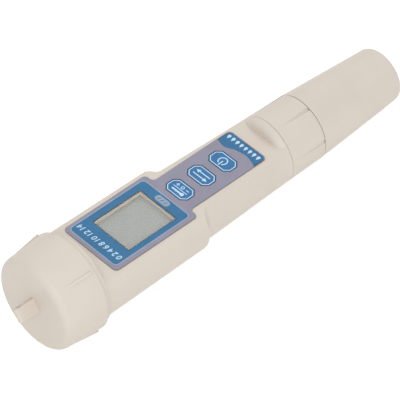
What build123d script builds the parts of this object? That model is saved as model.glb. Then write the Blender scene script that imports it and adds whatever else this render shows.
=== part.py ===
from build123d import *
import math
import os

os.makedirs("parts", exist_ok=True)

# A pen-type water quality meter, in millimetres. Its long axis lies along X: the battery cap is at the low end,
# the probe at the high end, and +Z comes out of the flat face with the display and keys.
# Stations are measured along the meter from the battery cap's flat end face.

# Battery cap and its lanyard tab
cap_length = 18.2
cap_rear_radius = 20.0
cap_front_share = 0.94
cap_edge_radius = 3.0
cap_end_wall = 2.6
cap_bore_share = 0.86
cap_gap = 0.2
rib_count = 4
rib_angle = 129.4
rib_start = 5.6
rib_length = 11.1
rib_height = 0.7
rib_width = 1.2
tab_reach = 8.4
tab_width = 5.3
tab_thickness = 2.9
tab_angle = 142.0
tab_offset = 2.0
tab_shift = -0.8
tab_rounding = 1.2
eye_radius = 0.9
eye_inset = 2.3

# Housing, outside
wall = 1.8
collar_width = 2.0
display_length = 47.6
display_radius_near = 17.75
display_radius_far = 17.1
display_corner = 2.8
shoulder_length = 4.0
shoulder_round = 3.0
shoulder_blend = 2.0
handle_length = 39.8
handle_radius_near = 15.25
handle_radius_far = 14.0
flat_height = 9.1
scoop_run = 3.2
scoop_round = 3.0

# Housing, battery end
neck_start = 6.0
neck_share = 0.815
neck_bore_share = 0.72
neck_land = 4.0
fit_gap = 0.1
neck_seal_inset = 1.4
front_wall = 1.4
boss_radius = 4.2
boss_length = 7.5
boss_head_margin = 0.1
boss_angle = 21.6
boss_end_wall = 2.0

# Housing, probe end
spigot_length = 9.5
spigot_radius = 11.9
plug_bore_radius = 9.9
plug_bore_depth = 11.0
bulkhead = 3.5

# Seals
seal_wire = 0.6
seal_groove_width = 1.4

# Printed film, window and keys
film_thickness = 0.3
film_corner = 1.8
film_start = 6.9
film_wide_length = 39.8
film_wide_width = 28.2
film_end_gap = 6.4
film_narrow_width = 19.7
window_start = 16.9
window_length = 23.4
window_width = 19.4
window_ledge = 0.4
key_names = ["temp", "mode", "power"]
key_first = 71.35
key_pitch = 10.6
key_length = 6.6
key_width = 10.8
key_cut = 1.8
key_gap = 0.15
key_thickness = 0.4
key_travel = 0.3
key_stop_gap = 0.1
stem_radius = 2.0
plunger_radius = 1.5
plunger_height = 2.4

# Display
polarizer_thickness = 0.15
polarizer_gap = 0.05
glass_thickness = 1.0
glass_length = 28.4
glass_width = 24.0
contact_ledge = 2.2
frame_wall = 0.9
frame_bar = 3.4
frame_gap = 0.1
zebra_width = 1.8
zebra_inset = 0.2

# Circuit board
board_thickness = 1.2
board_top = 2.3
board_start = 30.9
board_wide_width = 24.8
board_narrow_width = 20.4
board_step_gap = 0.7
switch_size = 6.0
switch_height = 3.5
switch_floor = 1.2
board_boss_radius = 2.2
board_screw_spread = 13.0
board_screw_margin = 5.75
screw_radius = 1.0
screw_head_radius = 1.9
screw_head_height = 1.2
board_screw_length = 5.2
tube_screw_length = 9.0
frame_screw_radius = 0.8
frame_screw_head_radius = 1.4
frame_screw_head_height = 0.9
frame_screw_length = 4.2
frame_screw_spread = 21.0
hole_gap = 0.05
screw_tip_gap = 0.4
chip_height = 1.0
controller_size = 7.0
memory_length = 5.0
memory_width = 4.0
crystal_length = 8.0
crystal_width = 3.0
chip_pitch = 12.0

# Batteries and their contacts
cell_count = 4
cell_radius = 5.8
cell_length = 5.4
cell_button_radius = 4.7
cell_button_height = 0.5
cell_gap = 0.15
cell_spacing = 0.05
tube_wall = 1.25
tube_floor = 1.2
tube_lip = 0.6
flange_thickness = 2.0
flange_gap = 0.2
contact_thickness = 0.4
contact_rim_gap = 0.2
plate_thickness = 0.5
plate_radius = 8.4
spring_length = 4.0
spring_radius = 3.6
spring_wire = 0.3
spring_turns = 3
spring_gap = 0.2
strip_width = 3.0
strip_thickness = 0.3
strip_gap = 0.05
strip_slot_gap = 0.1
strip_end_gap = 0.3
strip_overlap = 3.5
strip_side = 4.0

# Probe
ring_gap = 0.15
ring_length = 16.85
ring_radius_near = 14.05
ring_radius_far = 13.72
ring_thread_bore = 12.5
ring_edge = 0.2
groove_count = 6
groove_angle = 108.75
groove_start = 3.7
groove_tip_radius = 0.15
groove_radius = 0.75
electrode_gap = 0.1
flange_length = 2.0
electrode_flange_radius = 12.2
barrel_radius = 10.8
barrel_step_radius = 9.0
barrel_taper = 2.5
sensor_radius = 8.2
sensor_length = 12.0
guard_length = 7.5
guard_wall = 1.2
guard_slots = 4
guard_slot_width = 5.0
bulb_radius = 2.6
bulb_stem_radius = 1.9
bulb_stem_length = 1.6
sensor_ring = 5.0
sensor_seat = 2.0
conductivity_pin_radius = 0.8
conductivity_pin_length = 4.2
thermometer_radius = 1.3
thermometer_length = 4.6
junction_radius = 1.4
junction_height = 0.6
socket_radius = 6.1
socket_flange_radius = 7.0
socket_flange_length = 1.8
socket_length = 8.7
contact_pin_count = 5
contact_pin_ring = 3.6
contact_pin_radius = 0.5
contact_pin_length = 5.0
contact_pin_root = 3.0
pin_gap = 0.06
pin_tip_gap = 0.5
probe_seal_inset = 4.5

# Probe cap
probe_cap_gap = 0.2
probe_cap_length = 42.5
probe_cap_mouth_radius = 13.7
probe_cap_end_radius = 11.2
probe_cap_edge = 2.1
probe_cap_end_wall = 3.2
probe_cap_cavity_radius = 9.4
probe_cap_seat = 9.0
probe_cap_seat_gap = 0.2
sponge_thickness = 2.4
sponge_gap = 0.1

# Radii at the battery end, as shares of the cap's rear radius
cap_front_radius = cap_front_share * cap_rear_radius
cap_bore_radius = cap_bore_share * cap_rear_radius
collar_radius = cap_front_radius
neck_radius = neck_share * cap_rear_radius
neck_bore_radius = neck_bore_share * cap_rear_radius
flange_radius = neck_bore_radius - flange_gap
boss_reach = flange_radius - screw_head_radius - boss_head_margin

# Stations along the meter
neck_end = cap_length + cap_gap
flat_start = neck_end + collar_width
shoulder_start = flat_start + display_length
shoulder_end = shoulder_start + shoulder_length
block_end = shoulder_end + shoulder_blend
scoop_start = shoulder_end + handle_length
housing_end = scoop_start + scoop_run
spigot_end = housing_end + spigot_length
plug_bore_start = spigot_end - plug_bore_depth
cavity_end = plug_bore_start - bulkhead
ring_start = housing_end + ring_gap
ring_end = ring_start + ring_length
probe_cap_start = ring_end + probe_cap_gap
meter_end = probe_cap_start + probe_cap_length

# The origin is under the middle of the meter, level with the cap's lowest point
face_x = (tab_reach - meter_end) / 2
axis_z = cap_rear_radius
meter_axis = Axis((face_x, 0, axis_z), (1, 0, 0))


def section(station):
    """The cross-section plane at a station: its x is +Y and its y is +Z, from the long axis."""
    return Plane(origin=(face_x + station, 0, axis_z), x_dir=(0, 1, 0), z_dir=(1, 0, 0))


def radial_plane(angle):
    """The plane through the long axis at an angle from +Y: its x runs along the meter and its y outwards."""
    turn = math.radians(angle)
    return Plane(
        origin=(face_x, 0, axis_z), x_dir=(1, 0, 0), z_dir=(0, -math.sin(turn), math.cos(turn))
    )


def level(height):
    """The plane parallel to the flat face at a height above the long axis."""
    return Plane(origin=(face_x, 0, axis_z + height), x_dir=(1, 0, 0), z_dir=(0, 0, 1))


profile = radial_plane(90)


def around(radius, angle):
    """A point in a cross-section at a radius and an angle from +Y."""
    turn = math.radians(angle)
    return (radius * math.cos(turn), radius * math.sin(turn))


def turned(*corners):
    """A solid turned about the long axis, from corners given as (station, radius)."""
    with BuildPart() as body:
        with BuildSketch(profile):
            with BuildLine():
                Polyline(*corners, close=True)
            make_face()
        revolve(axis=meter_axis)
    return body.part


def flat_topped(station, radius, top, corner):
    """A half-round section with straight sides and a flat top, as a face at a station."""
    with BuildSketch(section(station)) as outline:
        Circle(radius)
        Rectangle(2 * radius, radius, align=(Align.CENTER, Align.MIN), mode=Mode.SUBTRACT)
        Rectangle(2 * radius, top, align=(Align.CENTER, Align.MIN))
        fillet(outline.vertices().group_by(Axis.Y)[-1], radius=corner)
    return outline.sketch


def handle_radius(station):
    """The radius of the tapering handle at a station."""
    share = (station - shoulder_end) / (housing_end - shoulder_end)
    return handle_radius_near + (handle_radius_far - handle_radius_near) * share


def cap_radius(station):
    """The radius of the battery cap's tapering side at a station."""
    return cap_front_radius + (cap_rear_radius - cap_front_radius) * station / cap_length


def slab(start, end, width, low, high, side=0.0):
    """A block along the meter between two stations and two heights."""
    with BuildPart() as block:
        with BuildSketch(level(low)):
            with Locations(((start + end) / 2, side)):
                Rectangle(end - start, width)
        extrude(amount=high - low)
    return block.part


def rods(start, end, radius, places):
    """Round rods along the meter between two stations, at places in the cross-section."""
    with BuildPart() as group:
        with BuildSketch(section(start)):
            with Locations(*places):
                Circle(radius)
        extrude(amount=end - start)
    return group.part


def posts(low, high, radius, places):
    """Round posts square to the flat face between two heights, at (station, side) places."""
    with BuildPart() as group:
        with BuildSketch(level(low)):
            with Locations(*places):
                Circle(radius)
        extrude(amount=high - low)
    return group.part


def key_outlines(height, gap):
    """The eight-sided outlines of the keys, each grown by a gap, as faces at a height."""
    with BuildSketch(level(height)) as outlines:
        with Locations(*[(place, 0) for place in key_places]):
            Rectangle(key_length + 2 * gap, key_width + 2 * gap)
        chamfer(outlines.vertices(), length=key_cut + gap * (2 - math.sqrt(2)))
    return outlines.sketch


def seal_ring(groove, floor):
    """A rubber ring lying on the floor of a groove."""
    with BuildPart() as ring:
        with BuildSketch(profile):
            with Locations((groove + seal_groove_width / 2, floor + seal_wire)):
                Circle(seal_wire)
        revolve(axis=meter_axis)
    return ring


# Battery cap
with BuildPart() as battery_cap:
    add(
        turned(
            (0, 0),
            (0, cap_front_radius),
            (cap_length, cap_rear_radius),
            (cap_length, cap_bore_radius),
            (cap_end_wall, cap_bore_radius),
            (cap_end_wall, 0),
        )
    )
    front_rim = battery_cap.edges().filter_by(GeomType.CIRCLE).group_by(Axis.X)[0]
    fillet(front_rim, radius=cap_edge_radius)
    for number in range(rib_count):
        rib_end = rib_start + rib_length
        rib_foot = cap_bore_radius + wall / 2
        with BuildSketch(radial_plane(rib_angle + 360 / rib_count * number)):
            with BuildLine():
                Polyline(
                    (rib_start, rib_foot),
                    (rib_start, cap_radius(rib_start)),
                    (rib_end, cap_radius(rib_end) + rib_height),
                    (rib_end, rib_foot),
                    close=True,
                )
            make_face()
        extrude(amount=rib_width / 2, both=True)
    tab_out = around(tab_offset, tab_angle)
    tab_along = around(tab_shift, tab_angle + 90)
    tab_root = cap_end_wall / 2
    with BuildSketch(section(tab_root)):
        with Locations((tab_out[0] + tab_along[0], tab_out[1] + tab_along[1])):
            Rectangle(tab_thickness, tab_width, rotation=tab_angle)
    extrude(amount=-(tab_reach + tab_root))
    tab_end = battery_cap.faces().sort_by(Axis.X)[0]
    fillet(tab_end.edges().sort_by(SortBy.LENGTH)[-2:], radius=tab_rounding)
    with BuildSketch(radial_plane(tab_angle)):
        with Locations((eye_inset - tab_reach, tab_offset)):
            Circle(eye_radius)
    extrude(amount=tab_width, both=True, mode=Mode.SUBTRACT)

# Display section of the housing: flat-topped, drawn in to the round handle at the shoulder
ceiling = flat_height - wall
block_ends = [
    flat_topped(flat_start, display_radius_near, flat_height, display_corner),
    flat_topped(block_end, display_radius_far, flat_height, display_corner),
]
corner_side = display_radius_near - display_corner
corner_reach = math.hypot(corner_side, flat_height - display_corner) + display_corner
with BuildPart() as display_block:
    loft(block_ends, ruled=True)
    with BuildSketch(profile):
        with BuildLine():
            FilletPolyline(
                (flat_start, corner_reach),
                (shoulder_start, corner_reach),
                (shoulder_end, handle_radius_near),
                (block_end, handle_radius(block_end)),
                radius=shoulder_round,
            )
            Polyline(
                (block_end, handle_radius(block_end)), (block_end, 0), (flat_start, 0), (flat_start, corner_reach)
            )
        make_face()
    revolve(axis=meter_axis, mode=Mode.INTERSECT)

# What the flat face takes off the round handle, ending in a scoop with a rounded top
scoop_crest = scoop_start + scoop_round
with BuildPart() as handle_cut:
    add(slab(block_end, housing_end, 3 * handle_radius_near, flat_height, 2 * flat_height))
    with BuildSketch(profile):
        with BuildLine():
            CenterArc((scoop_crest, handle_radius_far - scoop_round), scoop_round, 90, 90)
            Polyline(
                (scoop_start, handle_radius_far - scoop_round),
                (scoop_start, 0),
                (spigot_end, 0),
                (spigot_end, 3 * flat_height),
                (scoop_crest, 3 * flat_height),
                (scoop_crest, handle_radius_far),
            )
        make_face()
    revolve(axis=meter_axis, mode=Mode.SUBTRACT)

# The space inside the housing, under its flat ceiling
cavity_start = flat_start + front_wall
display_cavity_end = shoulder_start + shoulder_length / 8
cavity_ends = [
    flat_topped(cavity_start, display_radius_near - wall, ceiling, display_corner / 2),
    flat_topped(display_cavity_end, display_radius_far - wall, ceiling, display_corner / 2),
]
handle_cavity_start = shoulder_start - wall
with BuildPart() as hollow:
    add(
        turned(
            (handle_cavity_start, 0),
            (handle_cavity_start, handle_radius(handle_cavity_start) - wall),
            (cavity_end, handle_radius(cavity_end) - wall),
            (cavity_end, 0),
        )
    )
    split(bisect_by=level(ceiling), keep=Keep.BOTTOM)
    loft(cavity_ends, ruled=True)

# Places that the housing shares with what it carries
key_places = [key_first + key_pitch * number for number in range(len(key_names))]
film_top = flat_height + film_thickness
pocket_floor = film_top - key_thickness - key_travel - key_stop_gap
window_near = flat_start + window_start
window_far = window_near + window_length
window_centre = (window_near + window_far) / 2
tube_radius = cell_radius + cell_gap + tube_wall
flange_back = flat_start - wall
flange_front = flange_back - flange_thickness
strip_top = -tube_radius - strip_gap
strip_bottom = strip_top - strip_thickness
strip_slot_width = strip_width + 2 * strip_slot_gap
tube_screw_places = [around(boss_reach, -boss_angle), around(boss_reach, 180 + boss_angle)]
socket_start = plug_bore_start - socket_length
board_screw_stations = [key_places[0] + key_pitch / 2, socket_start - board_screw_margin]
board_screw_places = [
    (station, side * board_screw_spread / 2) for station in board_screw_stations for side in (-1, 1)
]
board_bottom = board_top - board_thickness
screw_hole = screw_radius + hole_gap
land_radius = cap_bore_radius - fit_gap
neck_groove = neck_end - neck_seal_inset - seal_groove_width
neck_groove_floor = land_radius - 2 * seal_wire

# Bosses for the battery tube's screws, inside the housing's own outline and clear of the tube
tube_boss_end = cavity_start + boss_length
with BuildPart() as tube_bosses:
    add(rods(cavity_start, tube_boss_end, boss_radius, tube_screw_places))
    add(display_block.part, mode=Mode.INTERSECT)
    add(rods(cavity_start, tube_boss_end, tube_radius + cell_gap, [(0, 0)]), mode=Mode.SUBTRACT)

# Housing
with BuildPart() as housing:
    add(display_block.part)
    add(
        turned(
            (block_end, 0),
            (block_end, handle_radius(block_end)),
            (housing_end, handle_radius_far),
            (housing_end, spigot_radius),
            (spigot_end, spigot_radius),
            (spigot_end, 0),
        )
    )
    add(handle_cut.part, mode=Mode.SUBTRACT)
    add(
        turned(
            (neck_start, 0),
            (neck_start, neck_radius),
            (neck_end - neck_land, neck_radius),
            (neck_end - neck_land, land_radius),
            (neck_groove, land_radius),
            (neck_groove, neck_groove_floor),
            (neck_groove + seal_groove_width, neck_groove_floor),
            (neck_groove + seal_groove_width, land_radius),
            (neck_end, land_radius),
            (neck_end, collar_radius),
            (flat_start, collar_radius),
            (flat_start, 0),
        )
    )
    add(hollow.part, mode=Mode.SUBTRACT)

    # Bosses and the holes for their screws
    add(tube_bosses.part)
    add(posts(board_top, flat_height - wall / 2, board_boss_radius, board_screw_places))
    board_hole_top = board_bottom + board_screw_length + screw_tip_gap
    add(posts(board_top, board_hole_top, screw_hole, board_screw_places), mode=Mode.SUBTRACT)
    add(rods(flange_back, tube_boss_end - boss_end_wall, screw_hole, tube_screw_places), mode=Mode.SUBTRACT)

    # Battery opening, with a slot for the long contact strip
    add(rods(neck_start, flange_back, neck_bore_radius, [(0, 0)]), mode=Mode.SUBTRACT)
    add(rods(flange_back, cavity_start, tube_radius + cell_gap, [(0, 0)]), mode=Mode.SUBTRACT)
    add(
        slab(flange_back, cavity_start, strip_slot_width, strip_bottom - strip_slot_gap, 0),
        mode=Mode.SUBTRACT,
    )

    # Socket hole and the bore that takes the electrode's plug
    add(rods(cavity_end, plug_bore_start, socket_radius + fit_gap, [(0, 0)]), mode=Mode.SUBTRACT)
    add(rods(plug_bore_start, spigot_end, plug_bore_radius, [(0, 0)]), mode=Mode.SUBTRACT)

    # Window opening, key pockets and the holes for the key stems
    opening_near = window_near + window_ledge
    opening_far = window_far - window_ledge
    opening_width = window_width - 2 * window_ledge
    add(slab(opening_near, opening_far, opening_width, ceiling, flat_height), mode=Mode.SUBTRACT)
    extrude(key_outlines(flat_height, key_gap), amount=pocket_floor - flat_height, mode=Mode.SUBTRACT)
    stem_holes = posts(ceiling, flat_height, stem_radius + fit_gap, [(place, 0) for place in key_places])
    add(stem_holes, mode=Mode.SUBTRACT)

# Printed film over the flat face
film_near = flat_start + film_start
film_step = film_near + film_wide_length
film_far = scoop_start - film_end_gap
with BuildPart() as label_overlay:
    with BuildSketch(level(flat_height)) as film_face:
        with Locations(((film_near + film_step) / 2, 0)):
            Rectangle(film_wide_length, film_wide_width)
        with Locations(((film_near + film_far) / 2, 0)):
            Rectangle(film_far - film_near, film_narrow_width)
        fillet(film_face.vertices(), radius=film_corner)
        with Locations((window_centre, 0)):
            Rectangle(window_length, window_width, mode=Mode.SUBTRACT)
    extrude(amount=film_thickness)
    extrude(key_outlines(flat_height, key_gap), amount=film_thickness, mode=Mode.SUBTRACT)

# Clear window pane, let into the film over the display opening
with BuildPart() as display_window:
    add(slab(window_near, window_far, window_width, flat_height, film_top))

# Liquid crystal display: an upper glass with contact ledges, a lower glass and two polarizers
upper_glass_top = ceiling - polarizer_gap - polarizer_thickness
upper_glass_bottom = upper_glass_top - glass_thickness
lower_glass_bottom = upper_glass_bottom - glass_thickness
glass_near = window_centre - glass_length / 2
glass_far = window_centre + glass_length / 2
inner_width = glass_width - 2 * contact_ledge
with BuildPart() as lcd_upper_glass:
    add(slab(glass_near, glass_far, glass_width, upper_glass_bottom, upper_glass_top))
with BuildPart() as lcd_lower_glass:
    add(slab(glass_near, glass_far, inner_width, lower_glass_bottom, upper_glass_bottom))
with BuildPart() as lcd_polarizers:
    add(slab(glass_near, glass_far, inner_width, upper_glass_top, upper_glass_top + polarizer_thickness))
    add(slab(glass_near, glass_far, inner_width, lower_glass_bottom - polarizer_thickness, lower_glass_bottom))

# Frame that holds the glass, standing on the circuit board
frame_near = glass_near - frame_gap - frame_bar
frame_far = glass_far + frame_gap + frame_bar
frame_outer = glass_width + 2 * (frame_gap + frame_wall)
frame_inner = glass_width + 2 * frame_gap
frame_screw_stations = [frame_near + frame_bar / 2, frame_far - frame_bar / 2]
frame_screw_places = [
    (station, side * frame_screw_spread / 2) for station in frame_screw_stations for side in (-1, 1)
]
frame_screw_hole = frame_screw_radius + hole_gap
frame_hole_top = board_bottom + frame_screw_length + screw_tip_gap
with BuildPart() as lcd_frame:
    add(slab(frame_near, frame_far, frame_outer, board_top, ceiling))
    add(
        slab(glass_near - frame_gap, glass_far + frame_gap, frame_inner, board_top, ceiling),
        mode=Mode.SUBTRACT,
    )
    add(posts(board_top, frame_hole_top, frame_screw_hole, frame_screw_places), mode=Mode.SUBTRACT)

# Striped rubber connectors between the glass ledges and the board
zebra_side = glass_width / 2 - zebra_inset - zebra_width / 2
with BuildPart() as zebra_strips:
    for side in (-zebra_side, zebra_side):
        add(slab(glass_near, glass_far, zebra_width, board_top, upper_glass_bottom, side))

# Circuit board
board_step = frame_far + board_step_gap
with BuildPart() as circuit_board:
    add(slab(board_start, board_step, board_wide_width, board_bottom, board_top))
    add(slab(board_start, socket_start, board_narrow_width, board_bottom, board_top))
    add(posts(board_bottom, board_top, screw_hole, board_screw_places), mode=Mode.SUBTRACT)
    add(posts(board_bottom, board_top, frame_screw_hole, frame_screw_places), mode=Mode.SUBTRACT)

# Chips under the board
chip_sizes = [
    (controller_size, controller_size),
    (memory_length, memory_width),
    (crystal_length, crystal_width),
]
with BuildPart() as board_chips:
    for number, (length, width) in enumerate(chip_sizes):
        middle = window_centre + chip_pitch * number
        add(slab(middle - length / 2, middle + length / 2, width, board_bottom - chip_height, board_bottom))

# Screws
with BuildPart() as board_screws:
    add(posts(board_bottom, board_bottom + board_screw_length, screw_radius, board_screw_places))
    add(posts(board_bottom - screw_head_height, board_bottom, screw_head_radius, board_screw_places))
with BuildPart() as frame_screws:
    frame_head_low = board_bottom - frame_screw_head_height
    add(posts(board_bottom, board_bottom + frame_screw_length, frame_screw_radius, frame_screw_places))
    add(posts(frame_head_low, board_bottom, frame_screw_head_radius, frame_screw_places))
with BuildPart() as tube_screws:
    add(rods(flange_front, flange_front + tube_screw_length, screw_radius, tube_screw_places))
    add(rods(flange_front - screw_head_height, flange_front, screw_head_radius, tube_screw_places))

# Press switches on the board, each with a well for its plunger
switch_top = board_top + switch_height
with BuildPart() as tact_switches:
    for place in key_places:
        near = place - switch_size / 2
        add(slab(near, near + switch_size, switch_size, board_top, switch_top))
        well = posts(board_top + switch_floor, switch_top, plunger_radius + fit_gap, [(place, 0)])
        add(well, mode=Mode.SUBTRACT)

# Keys, each an eight-sided pad with a stem down to a switch plunger
pieces = {}
plunger_low = board_top + switch_floor + key_travel + key_stop_gap
plunger_top = plunger_low + plunger_height
pads = key_outlines(film_top, 0).faces().sort_by(Axis.X)
for name, place, pad in zip(key_names, key_places, pads):
    with BuildPart() as key:
        extrude(pad, amount=-key_thickness)
        add(posts(plunger_top, film_top - key_thickness, stem_radius, [(place, 0)]))
    with BuildPart() as plunger:
        add(posts(plunger_low, plunger_top, plunger_radius, [(place, 0)]))
    pieces["key_" + name] = key
    pieces[name + "_plunger"] = plunger

# Batteries: a stack of button cells between the cap's spring and a contact at the tube's far end
cell_start = cap_end_wall + plate_thickness + spring_length
cell_end = cell_start + cell_count * (cell_length + cell_spacing)
with BuildPart() as button_cells:
    for number in range(cell_count):
        low = cell_start + number * (cell_length + cell_spacing)
        add(rods(low, low + cell_button_height, cell_button_radius, [(0, 0)]))
        add(rods(low + cell_button_height, low + cell_length, cell_radius, [(0, 0)]))
floor_start = cell_end + contact_thickness
with BuildPart() as inner_contact:
    add(rods(cell_end, floor_start, cell_radius - contact_rim_gap, [(0, 0)]))
tube_start = cell_start + tube_lip
tube_end = floor_start + tube_floor
tube_bore = tube_radius - tube_wall
strip_low = board_bottom - strip_thickness
with BuildPart() as battery_tube:
    add(
        turned(
            (tube_start, tube_bore),
            (tube_start, tube_radius),
            (flange_front, tube_radius),
            (flange_front, flange_radius),
            (flange_back, flange_radius),
            (flange_back, tube_radius),
            (tube_end, tube_radius),
            (tube_end, 0),
            (floor_start, 0),
            (floor_start, tube_bore),
        )
    )
    add(rods(flange_front, flange_back, screw_hole, tube_screw_places), mode=Mode.SUBTRACT)
    slot_low = strip_bottom - strip_slot_gap
    add(slab(flange_front, flange_back, strip_slot_width, slot_low, -tube_radius), mode=Mode.SUBTRACT)
    slot_low = strip_low - strip_slot_gap
    slot_high = board_bottom + strip_slot_gap
    add(slab(floor_start, tube_end, strip_slot_width, slot_low, slot_high, strip_side), mode=Mode.SUBTRACT)

# Contact strips: one from the far contact under the board, one along the tube to the cap's contact plate
plate_back = cap_end_wall + plate_thickness
leg_start = board_start + strip_thickness
leg_end = leg_start + strip_thickness
with BuildPart() as contact_strips:
    add(slab(floor_start, board_start + strip_overlap, strip_width, strip_low, board_bottom, strip_side))
    add(slab(plate_back + strip_end_gap, leg_end, strip_width, strip_bottom, strip_top))
    add(slab(leg_start, leg_end, strip_width, strip_bottom, board_bottom))

# Contact plate and spring in the cap
with BuildPart() as cap_contact_plate:
    add(rods(cap_end_wall, plate_back, plate_radius, [(0, 0)]))
coil_height = spring_length - spring_gap - 2 * spring_wire
with BuildPart() as cap_contact_spring:
    with BuildLine():
        coil = Helix(
            pitch=coil_height / spring_turns,
            height=coil_height,
            radius=spring_radius,
            center=(face_x + plate_back + spring_wire, 0, axis_z),
            direction=(1, 0, 0),
        )
    with BuildSketch(Plane(origin=coil @ 0, z_dir=coil % 0)):
        Circle(spring_wire)
    sweep(is_frenet=True)

# Seals
plug_radius = plug_bore_radius - fit_gap
plug_groove = housing_end + neck_seal_inset
plug_groove_floor = plug_radius - 2 * seal_wire
barrel_groove = probe_cap_start + probe_seal_inset
barrel_groove_floor = barrel_radius - 2 * seal_wire
neck_oring = seal_ring(neck_groove, neck_groove_floor)
electrode_oring = seal_ring(plug_groove, plug_groove_floor)
cap_oring = seal_ring(barrel_groove, barrel_groove_floor)

# Places on the electrode
plug_start = plug_bore_start + electrode_gap
electrode_flange_start = spigot_end + electrode_gap
electrode_flange_end = electrode_flange_start + flange_length
barrel_end = probe_cap_start + probe_cap_seat - probe_cap_seat_gap
sensor_end = barrel_end + barrel_taper + sensor_length
guard_end = sensor_end + guard_length
pin_root = plug_start + contact_pin_root
pin_tip = plug_start - contact_pin_length
contact_pin_places = [
    around(contact_pin_ring, 90 + 360 / contact_pin_count * number) for number in range(contact_pin_count)
]
sensors = {
    "conductivity_pins": (conductivity_pin_radius, conductivity_pin_length, [45, 135]),
    "temperature_probe": (thermometer_radius, thermometer_length, [225]),
    "reference_junction": (junction_radius, junction_height, [315]),
}

# Electrode: plug, flange, barrel and guarded sensing face
with BuildPart() as electrode_body:
    add(
        turned(
            (plug_start, 0),
            (plug_start, plug_radius),
            (plug_groove, plug_radius),
            (plug_groove, plug_groove_floor),
            (plug_groove + seal_groove_width, plug_groove_floor),
            (plug_groove + seal_groove_width, plug_radius),
            (electrode_flange_start, plug_radius),
            (electrode_flange_start, electrode_flange_radius),
            (electrode_flange_end, electrode_flange_radius),
            (electrode_flange_end, barrel_radius),
            (barrel_groove, barrel_radius),
            (barrel_groove, barrel_groove_floor),
            (barrel_groove + seal_groove_width, barrel_groove_floor),
            (barrel_groove + seal_groove_width, barrel_radius),
            (barrel_end, barrel_radius),
            (barrel_end, barrel_step_radius),
            (barrel_end + barrel_taper, sensor_radius),
            (guard_end, sensor_radius),
            (guard_end, sensor_radius - guard_wall),
            (sensor_end, sensor_radius - guard_wall),
            (sensor_end, 0),
        )
    )
    for number in range(guard_slots // 2):
        with BuildSketch(section(sensor_end)):
            Rectangle(4 * sensor_radius, guard_slot_width, rotation=360 / guard_slots * number)
        extrude(amount=guard_length, mode=Mode.SUBTRACT)
    seat_floor = sensor_end - sensor_seat
    for radius, length, angles in sensors.values():
        places = [around(sensor_ring, angle) for angle in angles]
        add(rods(seat_floor, sensor_end, radius + hole_gap, places), mode=Mode.SUBTRACT)
    add(rods(seat_floor, sensor_end, bulb_stem_radius + hole_gap, [(0, 0)]), mode=Mode.SUBTRACT)
    add(rods(plug_start, pin_root, contact_pin_radius + hole_gap, contact_pin_places), mode=Mode.SUBTRACT)

# Sensors seated in the sensing face
for name, (radius, length, angles) in sensors.items():
    with BuildPart() as sensor:
        add(rods(seat_floor, sensor_end + length, radius, [around(sensor_ring, angle) for angle in angles]))
    pieces[name] = sensor
with BuildPart() as ph_bulb:
    bulb_seat = sensor_end + bulb_stem_length
    bulb_middle = bulb_seat + math.sqrt(bulb_radius**2 - bulb_stem_radius**2)
    add(rods(seat_floor, bulb_middle, bulb_stem_radius, [(0, 0)]))
    with Locations((face_x + bulb_middle, 0, axis_z)):
        Sphere(bulb_radius)

# Contact pins of the electrode and the socket that they plug into
with BuildPart() as electrode_pins:
    add(rods(pin_tip, pin_root, contact_pin_radius, contact_pin_places))
with BuildPart() as socket_connector:
    add(rods(socket_start, plug_bore_start, socket_radius, [(0, 0)]))
    add(rods(cavity_end - socket_flange_length, cavity_end, socket_flange_radius, [(0, 0)]))
    pin_holes = rods(pin_tip - pin_tip_gap, plug_bore_start, contact_pin_radius + pin_gap, contact_pin_places)
    add(pin_holes, mode=Mode.SUBTRACT)

# Locking ring with finger grooves that widen towards the probe
ring_shoulder = electrode_flange_end + electrode_gap
ring_bore = barrel_radius + fit_gap
with BuildPart() as locking_ring:
    add(
        turned(
            (ring_start, ring_thread_bore),
            (ring_start, ring_radius_near),
            (ring_end, ring_radius_far),
            (ring_end, ring_bore),
            (ring_shoulder, ring_bore),
            (ring_shoulder, ring_thread_bore),
        )
    )
    outer_rims = locking_ring.edges().filter_by(GeomType.CIRCLE).sort_by(SortBy.RADIUS)[-2:]
    chamfer(outer_rims, length=ring_edge)
    for number in range(groove_count):
        angle = groove_angle + 360 / groove_count * number
        with BuildSketch(section(ring_start + groove_start)):
            with Locations(around(ring_radius_near, angle)):
                Circle(groove_tip_radius)
        with BuildSketch(section(ring_end)):
            with Locations(around(ring_radius_far, angle)):
                Circle(groove_radius)
        loft(ruled=True, mode=Mode.SUBTRACT)

# Probe cap
cavity_far = meter_end - probe_cap_end_wall
seat_step = probe_cap_start + probe_cap_seat
with BuildPart() as probe_cap:
    add(
        turned(
            (probe_cap_start, ring_bore),
            (probe_cap_start, probe_cap_mouth_radius),
            (meter_end, probe_cap_end_radius),
            (meter_end, 0),
            (cavity_far, 0),
            (cavity_far, probe_cap_cavity_radius),
            (seat_step, probe_cap_cavity_radius),
            (seat_step, ring_bore),
        )
    )
    fillet(probe_cap.edges().filter_by(GeomType.CIRCLE).group_by(Axis.X)[-1], radius=probe_cap_edge)
    mouth_rim = probe_cap.edges().filter_by(GeomType.CIRCLE).sort_by(SortBy.RADIUS)[-1]
    chamfer(mouth_rim, length=ring_edge)
with BuildPart() as storage_sponge:
    sponge_radius = probe_cap_cavity_radius - sponge_gap
    add(rods(cavity_far - sponge_thickness, cavity_far, sponge_radius, [(0, 0)]))

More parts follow.
